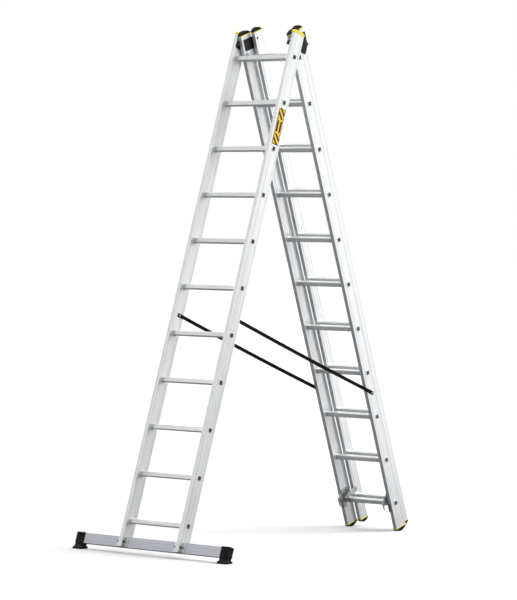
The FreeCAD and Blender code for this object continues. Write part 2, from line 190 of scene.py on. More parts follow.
def makeEdgeWear():
    # a broken mask along edges, where a finish rubs through or brightens
    group, given, result = newGroup(
        "edgeWear",
        [("Vector", "NodeSocketVector", None), ("Radius", "NodeSocketFloat", 0.0015),
         ("Breakup", "NodeSocketFloat", 180.0)],
        [("Edge", "NodeSocketFloat")],
    )
    bevel = addNode(group, "ShaderNodeBevel", samples=4)
    feed(group, bevel.inputs["Radius"], given.outputs["Radius"])
    geometry = addNode(group, "ShaderNodeNewGeometry")
    dot = addNode(group, "ShaderNodeVectorMath", operation="DOT_PRODUCT")
    feed(group, dot.inputs[0], bevel.outputs["Normal"])
    feed(group, dot.inputs[1], geometry.outputs["Normal"])
    barely, fully = 0.995, 0.86  # cosines where the wear starts and where it is full
    edge = spread(group, dot.outputs["Value"], barely, fully)
    grain = noise(group, given.outputs["Vector"], given.outputs["Breakup"], detail=4.0)
    worn = calc(group, "MULTIPLY", edge, spread(group, grain, 0.38, 0.62))
    feed(group, result.inputs["Edge"], worn)
    return group


def makeSettledDust():
    # pale dust and scuffs, thicker on what faces up
    group, given, result = newGroup(
        "settledDust",
        [("Vector", "NodeSocketVector", None), ("Scale", "NodeSocketFloat", 14.0),
         ("Amount", "NodeSocketFloat", 0.3)],
        [("Dust", "NodeSocketFloat")],
    )
    geometry = addNode(group, "ShaderNodeNewGeometry")
    split = addNode(group, "ShaderNodeSeparateXYZ")
    feed(group, split.inputs[0], geometry.outputs["Normal"])
    undersides = 0.25  # the dust on them, as a share of that on tops
    up = spread(group, split.outputs["Z"], -0.2, 0.9, undersides, 1.0)
    patches = noise(group, given.outputs["Vector"], given.outputs["Scale"], detail=6.0, roughness=0.7)
    amount = calc(group, "MULTIPLY", spread(group, patches, 0.42, 0.75), up)
    scaled = calc(group, "MULTIPLY", amount, given.outputs["Amount"], clamp=True)
    feed(group, result.inputs["Dust"], scaled)
    return group


drawnLines = makeDrawnLines()
edgeWear = makeEdgeWear()
settledDust = makeSettledDust()


def wornEdge(tree, place, wear):
    radius, breakup = wear
    return useGroup(tree, edgeWear, Vector=place, Radius=radius, Breakup=breakup).outputs["Edge"]


def dustOn(tree, place, scale, amount):
    return useGroup(tree, settledDust, Vector=place, Scale=scale, Amount=amount).outputs["Dust"]


def startMaterial(name, lean=0.0, softEdge=0.0):
    # returns the tree, its shader, the coordinates turned with the section, and the normal
    made = bpy.data.materials.new(name)
    made.use_nodes = True
    tree = made.node_tree
    shader = tree.nodes["Principled BSDF"]
    place = addNode(tree, "ShaderNodeTexCoord").outputs["Object"]
    place = mapped(tree, place, turn=(lean, 0, 0))
    normal = None
    if softEdge:
        bevel = setInputs(addNode(tree, "ShaderNodeBevel", samples=4), Radius=softEdge)
        normal = bevel.outputs["Normal"]
    return made, tree, shader, place, normal


def addBump(tree, shader, height, distance, strength=0.5, normal=None):
    bump = setInputs(addNode(tree, "ShaderNodeBump"), Distance=distance, Strength=strength)
    feed(tree, bump.inputs["Height"], height)
    if normal is not None:
        feed(tree, bump.inputs["Normal"], normal)
    feed(tree, shader.inputs["Normal"], bump.outputs[0])


# wear: how far in from an edge, in metres, and how finely it breaks up
# dust: how fine its patches are, and how much of it there is
aluminium = {
    "pale": (0.86, 0.875, 0.88, 1),
    "shade": (0.70, 0.72, 0.725, 1),
    "worn": (0.96, 0.97, 0.975, 1),
    "dusty": (0.62, 0.61, 0.58, 1),
    "wear": (0.0014, 220.0),
    "dustScale": 9.0,
    "dustRoughness": 0.3,
    "smudges": 6.0,
    "metallic": 0.72,
    "roughness": (0.30, 0.46),
    "lineDepth": 0.00006,
    "lineStrength": 0.6,
    "softEdge": 0.0008,
}


def makeAluminium(name, lean, stretch, tint=(1, 1, 1, 1), dust=0.35, values=aluminium):
    made, tree, shader, place, normal = startMaterial(name, lean, values["softEdge"])
    drawn = useGroup(tree, drawnLines, Vector=place, Stretch=stretch)
    worn = wornEdge(tree, place, values["wear"])
    dusty = dustOn(tree, place, values["dustScale"], dust)
    colour = mixColour(tree, drawn.outputs["Streaks"], values["shade"], values["pale"])
    colour = mixColour(tree, 1.0, colour, tint, "MULTIPLY")
    colour = mixColour(tree, worn, colour, values["worn"])
    colour = mixColour(tree, dusty, colour, values["dusty"])
    feed(tree, shader.inputs["Base Color"], colour)
    smudge = noise(tree, place, values["smudges"], detail=5.0, roughness=0.6)
    mottle = calc(tree, "ADD", drawn.outputs["Lines"], spread(tree, smudge, *midTones, -0.3, 0.4))
    rough = spread(tree, mottle, -0.2, 1.3, *values["roughness"])
    rough = calc(tree, "ADD", rough, calc(tree, "MULTIPLY", dusty, values["dustRoughness"]))
    feed(tree, shader.inputs["Roughness"], rough)
    shader.inputs["Metallic"].default_value = values["metallic"]
    addBump(tree, shader, drawn.outputs["Lines"], values["lineDepth"], values["lineStrength"], normal)
    return made


alongStile = (260, 260, 1.6)
alongRung = (1.6, 260, 260)
rungDust = 0.45
stileMetal = {
    "front": makeAluminium("frontStileAluminium", frontLean, alongStile),
    "rear": makeAluminium("rearStileAluminium", -rearLean, alongStile),
}
rungMetal = {
    "front": makeAluminium("frontRungAluminium", frontLean, alongRung, dust=rungDust),
    "rear": makeAluminium("rearRungAluminium", -rearLean, alongRung, dust=rungDust),
}
barTint = (0.62, 0.62, 0.68, 1)
barMetal = makeAluminium("stabiliserAluminium", frontLean, alongRung, barTint, dust=0.5)
clipTint = (0.88, 0.91, 0.87, 1)
clipMetal = makeAluminium("clipAluminium", frontLean, alongStile, clipTint, dust=0.4)

zinc = {
    "pale": (0.50, 0.52, 0.53, 1),
    "shade": (0.28, 0.30, 0.31, 1),
    "yellowed": (0.34, 0.33, 0.29, 1),
    "worn": (0.80, 0.81, 0.81, 1),
    "wear": (0.001, 400.0),
    "spangle": 160.0,
    "stains": 40.0,
    "metallic": 0.9,
    "roughness": (0.28, 0.50),
    "grain": 900.0,
    "grainDepth": 0.00005,
    "softEdge": 0.0006,
}


def makeZinc(values=zinc):
    made, tree, shader, place, normal = startMaterial("zincPlate", softEdge=values["softEdge"])
    cells = addNode(tree, "ShaderNodeTexVoronoi")
    feed(tree, cells.inputs["Vector"], place)
    cells.inputs["Scale"].default_value = values["spangle"]
    split = addNode(tree, "ShaderNodeSeparateXYZ")
    feed(tree, split.inputs[0], cells.outputs["Color"])
    colour = mixColour(tree, split.outputs["X"], values["shade"], values["pale"])
    stain = spread(tree, noise(tree, place, values["stains"], 5.0), 0.5, 0.75)
    colour = mixColour(tree, stain, colour, values["yellowed"])
    colour = mixColour(tree, wornEdge(tree, place, values["wear"]), colour, values["worn"])
    feed(tree, shader.inputs["Base Color"], colour)
    feed(tree, shader.inputs["Roughness"], spread(tree, split.outputs["Y"], 0, 1, *values["roughness"]))
    shader.inputs["Metallic"].default_value = values["metallic"]
    grain = noise(tree, place, values["grain"], 2.0)
    addBump(tree, shader, grain, values["grainDepth"], normal=normal)
    return made


blackCoat = {
    "colour": (0.004, 0.004, 0.0045, 1),
    "grey": (0.013, 0.013, 0.014, 1),
    "bare": (0.30, 0.30, 0.295, 1),
    "dusty": (0.09, 0.085, 0.08, 1),
    "wear": (0.0012, 260.0),
    "wearAmount": 0.35,
    "bareMetallic": 0.9,
    "dust": (22.0, 0.16),
    "blotches": 30.0,
    "specular": 0.22,
    "roughness": (0.36, 0.55),
    "peel": 620.0,
    "peelDepth": 0.00012,
    "softEdge": 0.0009,
}


def makeBlackCoat(values=blackCoat):
    made, tree, shader, place, normal = startMaterial("blackPowderCoat", softEdge=values["softEdge"])
    peel = noise(tree, place, values["peel"], 2.0)
    blotch = spread(tree, noise(tree, place, values["blotches"], 5.0), *midTones)
    colour = mixColour(tree, blotch, values["colour"], values["grey"])
    rubbed = calc(tree, "MULTIPLY", wornEdge(tree, place, values["wear"]), values["wearAmount"])
    colour = mixColour(tree, rubbed, colour, values["bare"])
    colour = mixColour(tree, dustOn(tree, place, *values["dust"]), colour, values["dusty"])
    feed(tree, shader.inputs["Base Color"], colour)
    feed(tree, shader.inputs["Metallic"], calc(tree, "MULTIPLY", rubbed, values["bareMetallic"]))
    shader.inputs["Specular IOR Level"].default_value = values["specular"]
    feed(tree, shader.inputs["Roughness"], spread(tree, blotch, 0, 1, *values["roughness"]))
    addBump(tree, shader, peel, values["peelDepth"], normal=normal)
    return made


rubber = {
    "colour": (0.0035, 0.0035, 0.004, 1),
    "chalky": (0.013, 0.0135, 0.0145, 1),
    "dusty": (0.085, 0.082, 0.078, 1),
    "wear": (0.0022, 150.0),
    "wearAmount": 0.25,
    "dustScale": 18.0,
    "clouds": 26.0,
    "specular": 0.10,
    "roughness": (0.50, 0.76),
    "grain": 700.0,
    "grainDepth": 0.00015,
    "grainStrength": 0.6,
    "softEdge": 0.0012,
}


def makeRubber(name, dust, values=rubber):
    made, tree, shader, place, normal = startMaterial(name, softEdge=values["softEdge"])
    grain = noise(tree, place, values["grain"], 3.0, 0.6)
    cloud = spread(tree, noise(tree, place, values["clouds"], 5.0, 0.65), 0.35, 0.7)
    colour = mixColour(tree, cloud, values["colour"], values["chalky"])
    dusty = dustOn(tree, place, values["dustScale"], dust)
    scuffed = calc(tree, "MULTIPLY", wornEdge(tree, place, values["wear"]), values["wearAmount"])
    colour = mixColour(tree, dusty, colour, values["dusty"])
    colour = mixColour(tree, scuffed, colour, values["dusty"])
    feed(tree, shader.inputs["Base Color"], colour)
    feed(tree, shader.inputs["Roughness"], spread(tree, cloud, 0, 1, *values["roughness"]))
    shader.inputs["Specular IOR Level"].default_value = values["specular"]
    addBump(tree, shader, grain, values["grainDepth"], values["grainStrength"], normal)
    return made


yellow = {
    "bright": (1.0, 0.79, 0.010, 1),
    "deep": (0.95, 0.68, 0.006, 1),
    "rubbed": (1.0, 0.86, 0.16, 1),
    "dirty": (0.36, 0.30, 0.16, 1),
    "wear": (0.0016, 240.0),
    "wearAmount": 0.7,
    "dust": (30.0, 0.14),
    "flow": 34.0,
    "soaking": 0.05,  # the light that enters and comes out again
    "soakingReach": (0.004, 0.002, 0.001),
    "roughness": (0.30, 0.48),
    "grain": 800.0,
    "grainDepth": 0.00008,
    "softEdge": 0.001,
}


def makeYellow(values=yellow):
    made, tree, shader, place, normal = startMaterial("yellowMouldedPlastic", softEdge=values["softEdge"])
    flow = spread(tree, noise(tree, place, values["flow"], 4.0), *midTones)
    colour = mixColour(tree, flow, values["deep"], values["bright"])
    rubbed = calc(tree, "MULTIPLY", wornEdge(tree, place, values["wear"]), values["wearAmount"])
    colour = mixColour(tree, rubbed, colour, values["rubbed"])
    colour = mixColour(tree, dustOn(tree, place, *values["dust"]), colour, values["dirty"])
    feed(tree, shader.inputs["Base Color"], colour)
    feed(tree, shader.inputs["Roughness"], spread(tree, flow, 0, 1, *values["roughness"]))
    shader.inputs["Subsurface Weight"].default_value = values["soaking"]
    shader.inputs["Subsurface Radius"].default_value = values["soakingReach"]
    grain = noise(tree, place, values["grain"], 2.0)
    addBump(tree, shader, grain, values["grainDepth"], normal=normal)
    return made


webbing = {
    "thread": (0.002, 0.002, 0.0025, 1),
    # the colour of the raised threads: a painted sheen
    "paintedSheen": (0.009, 0.009, 0.010, 1),
    "dusty": (0.028, 0.027, 0.026, 1),
    "picks": 0.0016,  # from one crossing thread to the next, along the strap
    "ends": 0.0011,  # from one long thread to the next, across it
    "depth": 0.00035,
    "depthStrength": 0.8,
    "fuzz": 1400.0,
    "fuzzHeight": 0.25,
    "dust": (40.0, 0.12),
    "specular": 0.04,
    "roughness": (0.9, 0.62),
}


def makeWebbing(values=webbing):
    # long threads that go over and under the crossing ones, by turns
    made, tree, shader, place, _ = startMaterial("strapWebbing")
    flat = addNode(tree, "ShaderNodeUVMap", uv_map="flat").outputs["UV"]
    split = addNode(tree, "ShaderNodeSeparateXYZ")
    feed(tree, split.inputs[0], flat)
    across = calc(tree, "MULTIPLY", split.outputs["X"], math.pi / values["ends"])
    along = calc(tree, "MULTIPLY", split.outputs["Y"], math.pi / values["picks"])
    rows = calc(tree, "ABSOLUTE", calc(tree, "SINE", across))
    column = calc(tree, "FLOOR", calc(tree, "DIVIDE", across, math.pi))
    stepped = calc(tree, "ADD", along, calc(tree, "MULTIPLY", column, math.pi / 2))
    over = calc(tree, "ABSOLUTE", calc(tree, "SINE", stepped))
    height = calc(tree, "MULTIPLY", calc(tree, "POWER", rows, 0.6), spread(tree, over, 0, 1, 0.35, 1))
    fuzz = noise(tree, place, values["fuzz"], 3.0)
    height = calc(tree, "ADD", height, calc(tree, "MULTIPLY", fuzz, values["fuzzHeight"]))
    # the raised threads are painted lighter and the dips between them darker, a painted sheen and painted
    # shade; the fuzz adds random tone
    colour = mixColour(tree, height, values["thread"], values["paintedSheen"])
    colour = mixColour(tree, dustOn(tree, place, *values["dust"]), colour, values["dusty"])
    feed(tree, shader.inputs["Base Color"], colour)
    feed(tree, shader.inputs["Roughness"], spread(tree, height, 0, 1.2, *values["roughness"]))
    shader.inputs["Specular IOR Level"].default_value = values["specular"]
    addBump(tree, shader, height, values["depth"], values["depthStrength"])
    return made


stitchThread = {
    # dark is the painted shade in the twist's grooves, light the painted highlight on its plies
    "dark": (0.012, 0.012, 0.013, 1),
    "light": (0.035, 0.035, 0.037, 1),
    "twist": 900.0,
    "twistDepth": 0.0001,
    "twistStrength": 0.6,
    "roughness": (0.8, 0.55),
}


def makeThread(values=stitchThread):
    made, tree, shader, place, _ = startMaterial("stitchThread")
    twist = addNode(tree, "ShaderNodeTexWave", wave_type="BANDS", bands_direction="DIAGONAL")
    feed(tree, twist.inputs["Vector"], place)
    twist.inputs["Scale"].default_value = values["twist"]
    ply = twist.outputs["Fac"]
    # the raised plies of the twist are painted lighter and the grooves between them darker: painted highlight
    # and painted shade
    feed(tree, shader.inputs["Base Color"], mixColour(tree, ply, values["dark"], values["light"]))
    feed(tree, shader.inputs["Roughness"], spread(tree, ply, 0, 1, *values["roughness"]))
    addBump(tree, shader, ply, values["twistDepth"], values["twistStrength"])
    return made


labelPrint = {
    "film": (1.0, 0.63, 0.006, 1),
    "faded": (0.97, 0.62, 0.03, 1),
    "ink": (0.002, 0.002, 0.0025, 1),
    "centre": (0, -0.425),  # depth and height on the front section
    "half": (0.026, 0.109),
    "border": 0.0035,
    "stripes": 0.019,
    "stripeZone": (0.044, 0.109),
    "bars": [(-0.013, 0.007), (0.012, 0.007)],  # middle and half width
    "barReach": 0.034,
    "fading": 60.0,
    "rubbing": 320.0,
    "coat": 0.08,
    "coatRoughness": 0.2,
    "specular": 0.25,
    "roughness": (0.22, 0.42),
    "ripples": 160.0,
    "rippleDepth": 0.0001,
    "rippleStrength": 0.3,
    "softEdge": 0.0003,
}


def makeLabel(values=labelPrint):
    # plain yellow film with a black rule, hazard stripes at the ends and two plain bars
    made, tree, shader, place, normal = startMaterial("labelFilm", frontLean, values["softEdge"])
    turned = Matrix.Rotation(frontLean, 4, "X") @ frontPlace.to_translation()
    depth, height = values["centre"]
    centred = mapped(tree, place, shift=(0, -turned.y - depth, -turned.z - height))
    split = addNode(tree, "ShaderNodeSeparateXYZ")
    feed(tree, split.inputs[0], centred)
    wide = calc(tree, "ABSOLUTE", split.outputs["Y"])
    tall = calc(tree, "ABSOLUTE", split.outputs["Z"])
    halfWide, halfTall = values["half"]
    border = values["border"]
    nearSide = calc(tree, "GREATER_THAN", wide, halfWide - border)
    nearEnd = calc(tree, "GREATER_THAN", tall, halfTall - border)
    ink = calc(tree, "MAXIMUM", nearSide, nearEnd)
    slant = calc(tree, "ADD", split.outputs["Y"], split.outputs["Z"])
    stripe = calc(tree, "PINGPONG", calc(tree, "DIVIDE", slant, values["stripes"]), 1.0)
    low, high = values["stripeZone"]
    above = calc(tree, "GREATER_THAN", tall, low)
    below = calc(tree, "LESS_THAN", tall, high)
    zone = calc(tree, "MULTIPLY", above, below)
    striped = calc(tree, "MULTIPLY", calc(tree, "GREATER_THAN", stripe, 0.5), zone)
    ink = calc(tree, "MAXIMUM", ink, striped)
    for middle, half in values["bars"]:
        offset = calc(tree, "ABSOLUTE", calc(tree, "SUBTRACT", split.outputs["Y"], middle))
        bar = calc(tree, "LESS_THAN", offset, half)
        bar = calc(tree, "MULTIPLY", bar, calc(tree, "LESS_THAN", tall, values["barReach"]))
        ink = calc(tree, "MAXIMUM", ink, bar)
    fade = spread(tree, noise(tree, place, values["fading"], 4.0), 0.35, 0.7)
    film = mixColour(tree, fade, values["film"], values["faded"])
    worn = spread(tree, noise(tree, place, values["rubbing"], 5.0, 0.7), 0.24, 0.29)
    ink = calc(tree, "MULTIPLY", ink, worn)
    feed(tree, shader.inputs["Base Color"], mixColour(tree, ink, film, values["ink"]))
    feed(tree, shader.inputs["Roughness"], spread(tree, fade, 0, 1, *values["roughness"]))
    shader.inputs["Coat Weight"].default_value = values["coat"]
    shader.inputs["Specular IOR Level"].default_value = values["specular"]
    shader.inputs["Coat Roughness"].default_value = values["coatRoughness"]
    ripples = noise(tree, place, values["ripples"], 3.0)
    addBump(tree, shader, ripples, values["rippleDepth"], values["rippleStrength"], normal)
    return made


strapWebbing = makeWebbing()
threadFinish = makeThread()
labelFilm = makeLabel()
zincPlate = makeZinc()
blackSteel = makeBlackCoat()
padRubber = makeRubber("domedPadRubber", dust=0.30)
footRubber = makeRubber("stabiliserFootRubber", dust=0.42)
yellowPlastic = makeYellow()
print("materials made")


def nodeMaterial(name):
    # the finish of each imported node, by its name
    section = "front" if name.startswith("front") else "rear"
    if "stile" in name:
        return stileMetal[section]
    if name.endswith("rungs"):
        return rungMetal[section]
    if name == "stabiliser_bar":
        return barMetal
    if "pad" in name:
        return padRubber
    if "stabiliser_foot" in name:
        return footRubber
    if "liner" in name or "plug" in name:
        return yellowPlastic
    if name == "front_label":
        return labelFilm
    blackParts = ("hinge_bracket", "guide_plate", "stabiliser_bolts")
    if name.startswith(blackParts) and "rivets" not in name:
        return blackSteel
    if "clip" in name:
        return clipMetal
    return zincPlate


for name, thing in frame["nodes"].items():
    thing.data.materials.clear()
    thing.data.materials.append(nodeMaterial(name))
print("packed nodes finished")


def keepPiece(name, mesh, body, place=None, material=None):
    # a finished mesh as an object at the origin that rides on its body
    if place is not None:
        mesh.transform(place)
    if material is not None:
        mesh.materials.clear()
        mesh.materials.append(material)
    piece = bpy.data.objects.new(name, mesh)
    bpy.context.collection.objects.link(piece)
    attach(piece, body)
    return piece


def newGrowth(name, inputs):
    tree = bpy.data.node_groups.new(name, "GeometryNodeTree")
    tree.interface.new_socket("Geometry", in_out="INPUT", socket_type="NodeSocketGeometry")
    for socketName, kind in inputs:
        tree.interface.new_socket(socketName, in_out="INPUT", socket_type="NodeSocket" + kind)
    tree.interface.new_socket("Material", in_out="INPUT", socket_type="NodeSocketMaterial")
    tree.interface.new_socket("Geometry", in_out="OUTPUT", socket_type="NodeSocketGeometry")
    return tree, addNode(tree, "NodeGroupInput"), addNode(tree, "NodeGroupOutput")


def endGrowth(tree, given, result, geometry):
    real = addNode(tree, "GeometryNodeRealizeInstances")
    feed(tree, real.inputs["Geometry"], geometry)
    finish = addNode(tree, "GeometryNodeSetMaterial")
    feed(tree, finish.inputs["Geometry"], real.outputs[0])
    feed(tree, finish.inputs["Material"], given.outputs["Material"])
    feed(tree, result.inputs["Geometry"], finish.outputs[0])
    return tree


def grow(tree, values, host):
    # the tree's result on a host mesh, as a plain mesh
    holder = bpy.data.objects.new("holder", host)
    bpy.context.collection.objects.link(holder)
    modifier = holder.modifiers.new("growth", "NODES")
    modifier.node_group = tree
    for item in tree.interface.items_tree:
        if item.in_out == "INPUT" and item.name in values:
            modifier[item.identifier] = values[item.name]
    graph = bpy.context.evaluated_depsgraph_get()
    grown = bpy.data.meshes.new_from_object(holder.evaluated_get(graph))
    holder.modifiers.remove(modifier)
    bpy.data.objects.remove(holder)
    return grown


def vector(tree, x=0.0, y=0.0, z=0.0):
    node = addNode(tree, "ShaderNodeCombineXYZ")
    for socket, source in zip(node.inputs, (x, y, z)):
        feed(tree, socket, source)
    return node.outputs[0]


def instance(tree, points, shape, rotation=None):
    node = addNode(tree, "GeometryNodeInstanceOnPoints")
    feed(tree, node.inputs["Points"], points)
    feed(tree, node.inputs["Instance"], shape)
    if rotation is not None:
        feed(tree, node.inputs["Rotation"], rotation)
    return node.outputs[0]


def line(tree, count, start, offset):
    node = addNode(tree, "GeometryNodeMeshLine")
    feed(tree, node.inputs["Count"], count)
    feed(tree, node.inputs["Start Location"], start)
    feed(tree, node.inputs["Offset"], offset)
    return node.outputs[0]


def moved(tree, geometry, rotation=(0, 0, 0), scale=(1, 1, 1), translation=(0, 0, 0)):
    node = addNode(tree, "GeometryNodeTransform")
    feed(tree, node.inputs["Geometry"], geometry)
    feed(tree, node.inputs["Rotation"], rotation)
    feed(tree, node.inputs["Scale"], scale)
    feed(tree, node.inputs["Translation"], translation)
    return node.outputs[0]


def islands(name, sameSpot=1e-5):
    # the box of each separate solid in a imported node, always in the same order
    form = bmesh.new()
    form.from_mesh(frame["nodes"][name].data)
    bmesh.ops.remove_doubles(form, verts=form.verts, dist=sameSpot)
    boxes = []
    seen = set()
    for start in form.verts:
        if start in seen:
            continue
        seen.add(start)
        reached = [start]
        found = []
        while reached:
            vertex = reached.pop()
            found.append(vertex.co.copy())
            for edge in vertex.link_edges:
                other = edge.other_vert(vertex)
                if other not in seen:
                    seen.add(other)
                    reached.append(other)
        low = Vector([min(point[axis] for point in found) for axis in range(3)])
        high = Vector([max(point[axis] for point in found) for axis in range(3)])
        boxes.append((low, high))
    form.free()
    return boxes


# anti-slip ribs on every rung
rungRibs = {
    "ribs": 5,
    "spacing": 0.0042,
    "width": 0.0014,
    "sunk": 0.2,  # how deep a rib's axis lies under the face, as a share of its width
    "facets": 8,
    "reach": {"front": 0.166, "middle": 0.139, "rear": 0.136},  # half the ribbed length
}


def ribTree(values):
    tree, given, result = newGrowth("rungRibs", [
        ("Rungs", "Int"), ("Pitch", "Float"), ("Ribs", "Int"), ("Spacing", "Float"),
        ("Width", "Float"), ("Length", "Float"), ("Face", "Float"),
    ])
    rib = addNode(tree, "GeometryNodeMeshCylinder")
    rib.inputs["Vertices"].default_value = values["facets"]
    feed(tree, rib.inputs["Radius"], calc(tree, "MULTIPLY", given.outputs["Width"], 0.5))
    feed(tree, rib.inputs["Depth"], given.outputs["Length"])
    lying = moved(tree, rib.outputs[0], rotation=(0, math.pi / 2, 0))
    gaps = calc(tree, "SUBTRACT", given.outputs["Ribs"], 1)
    first = calc(tree, "MULTIPLY", calc(tree, "MULTIPLY", gaps, given.outputs["Spacing"]), -0.5)
    depth = calc(tree, "MULTIPLY", given.outputs["Width"], values["sunk"])
    sunk = calc(tree, "SUBTRACT", given.outputs["Face"], depth)
    start = vector(tree, 0, first, sunk)
    rows = line(tree, given.outputs["Ribs"], start, vector(tree, 0, given.outputs["Spacing"], 0))
    oneFace = instance(tree, rows, lying)
    rungFaces = 4
    corners = line(tree, rungFaces, (0, 0, 0), (0, 0, 0))
    number = addNode(tree, "GeometryNodeInputIndex").outputs[0]
    quarter = vector(tree, calc(tree, "MULTIPLY", number, math.pi / 2), 0, 0)
    allFaces = instance(tree, corners, oneFace, quarter)
    down = vector(tree, 0, 0, calc(tree, "MULTIPLY", given.outputs["Pitch"], -1))
    rungLine = line(tree, given.outputs["Rungs"], (0, 0, 0), down)
    return endGrowth(tree, given, result, instance(tree, rungLine, allFaces))


def addRungRibs(values=rungRibs):
    tree = ribTree(values)
    for section, place in (("front", frontPlace), ("middle", middlePlace), ("rear", rearPlace)):
        metal = rungMetal["front" if section == "front" else "rear"]
        grown = grow(tree, {
            "Rungs": ladder["rungs"],
            "Pitch": ladder["rungPitch"],
            "Ribs": values["ribs"],
            "Spacing": values["spacing"],
            "Width": values["width"],
            "Length": 2 * values["reach"][section],
            "Face": ladder["rungSize"] / 2,
            "Material": metal,
        }, bpy.data.meshes.new("ribHost"))
        keepPiece(section + "_rung_ribs", grown, section + "_section", place)


addRungRibs()
print("rung ribs grown")


# domed rivets
rivets = {
    "heads": {
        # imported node, its body, the dome's height, its finish
        "hinge_bracket_rivets": ("front_section", 0.0015, zincPlate),
        "guide_plate_rivets": ("middle_section", 0.0012, blackSteel),
    },
    "domeShare": 0.96,  # the dome's radius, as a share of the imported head's
    "rimShare": 1.04,  # the rim's radius, as a share of the dome's
    "rimHeight": 0.5,  # the rim's height, as a share of the dome's
    "domeFacets": (20, 12),
    "rimFacets": 24,
}


def rivetTree(values=rivets):
    tree, given, result = newGrowth("domedRivets", [("Radius", "Float"), ("Height", "Float")])
    ball = addNode(tree, "GeometryNodeMeshUVSphere")
    segments, rings = values["domeFacets"]
    ball.inputs["Segments"].default_value = segments
    ball.inputs["Rings"].default_value = rings
    ball.inputs["Radius"].default_value = 1.0
    size = vector(tree, given.outputs["Height"], given.outputs["Radius"], given.outputs["Radius"])
    dome = moved(tree, ball.outputs[0], scale=size)
    rim = addNode(tree, "GeometryNodeMeshCylinder")
    rim.inputs["Vertices"].default_value = values["rimFacets"]
    feed(tree, rim.inputs["Radius"], calc(tree, "MULTIPLY", given.outputs["Radius"], values["rimShare"]))
    feed(tree, rim.inputs["Depth"], calc(tree, "MULTIPLY", given.outputs["Height"], values["rimHeight"]))
    flat = moved(tree, rim.outputs[0], rotation=(0, math.pi / 2, 0))
    join = addNode(tree, "GeometryNodeJoinGeometry")
    feed(tree, join.inputs[0], dome)
    feed(tree, join.inputs[0], flat)
    points = addNode(tree, "GeometryNodeMeshToPoints")
    feed(tree, points.inputs["Mesh"], given.outputs["Geometry"])
    return endGrowth(tree, given, result, instance(tree, points.outputs[0], join.outputs[0]))


def addRivets(values=rivets):
    tree = rivetTree()
    for node, (body, height, finish) in values["heads"].items():
        spots = []
        radius = 0
        for low, high in islands(node):
            middle = (low + high) / 2
            outer = max(abs(low.x), abs(high.x))
            spots.append((math.copysign(outer, middle.x), middle.y, middle.z))
            radius = (high.z - low.z) / 2
        host = bpy.data.meshes.new("rivetSpots")
        host.from_pydata(spots, [], [])
        inputs = {"Radius": radius * values["domeShare"], "Height": height, "Material": finish}
        piece = keepPiece(node + "_domed", grow(tree, inputs, host), body)
        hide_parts(node)


addRivets()
print("rivets set")


# dark rubber discs over the rear stiles' catch holes, painting the shade inside the holes
holeShadeDisc = {"hole": (-0.003, 0.110), "radius": 0.0062, "height": 0.0012}


def addHoleShadeDiscs(values=holeShadeDisc):
    inner = ladder["rearHalfWidth"] - ladder["stileThick"]
    spots = [rearPlace @ Vector((side * inner, *values["hole"])) for side in sides.values()]
    host = bpy.data.meshes.new("holeShadeSpots")
    host.from_pydata(spots, [], [])
    # the discs stand in for the shade inside the holes
    inputs = {"Radius": values["radius"], "Height": values["height"], "Material": padRubber}
    piece = keepPiece("catch_hole_shade_discs", grow(rivetTree(), inputs, host), "rear_section")


addHoleShadeDiscs()
print("catch hole shade discs set")


# spreader straps of black webbing
strap = {
    "width": 0.022,
    "thick": 0.0018,
    "plane": 0.2075,  # how far to each side of the middle
    "frontRivet": (0.005, -1.573),  # depth and height on the front section
    "middleRivet": (-0.002, -2.085),
    "tail": 0.013,
    "steps": 220,
    "sag": 0.005,
    "edgeWave": 0.0003,
    "waves": (97, 31),
    "patternStart": 0.1,  # keeps the weave's coordinates above nought
    "seamRow": 0.014,
    "seamLength": 0.045,
    "seamInset": 0.016,
    "stitch": 0.0028,
    "threadShare": 0.78,  # the thread that shows, as a share of a stitch
    "threadWidth": 0.0007,
    "threadFacets": (8, 6),
    # the strap's section: shares of its width and of its half thickness
    "section": [(-0.5, 0.0), (-0.48, 0.7), (-0.43, 1.0), (-0.2, 1.0), (0.2, 1.0), (0.43, 1.0), (0.48, 0.7),
                (0.5, 0.0), (0.48, -0.7), (0.43, -1.0), (0.2, -1.0), (-0.2, -1.0), (-0.43, -1.0),
                (-0.48, -0.7)],
}


def strapFrame(values, side):
    x = side * values["plane"]
    start = frontPlace @ Vector((x, *values["frontRivet"]))
    end = middlePlace @ Vector((x, *values["middleRivet"]))
    along = (end - start).normalized()
    wide = Vector((1, 0, 0)).cross(along)
    return start, end, along, wide


def strapPoint(values, spots, reach, offset, lift):
    # reach runs along the strap in metres, offset across its width, lift off its plane
    start, end, along, wide = spots
    length = (end - start).length
    share = min(max(reach / length, 0), 1)
    drop = Vector((0, 0, -4 * values["sag"] * share * (1 - share)))
    return start + along * reach + wide * offset + Vector((lift, 0, 0)) + drop


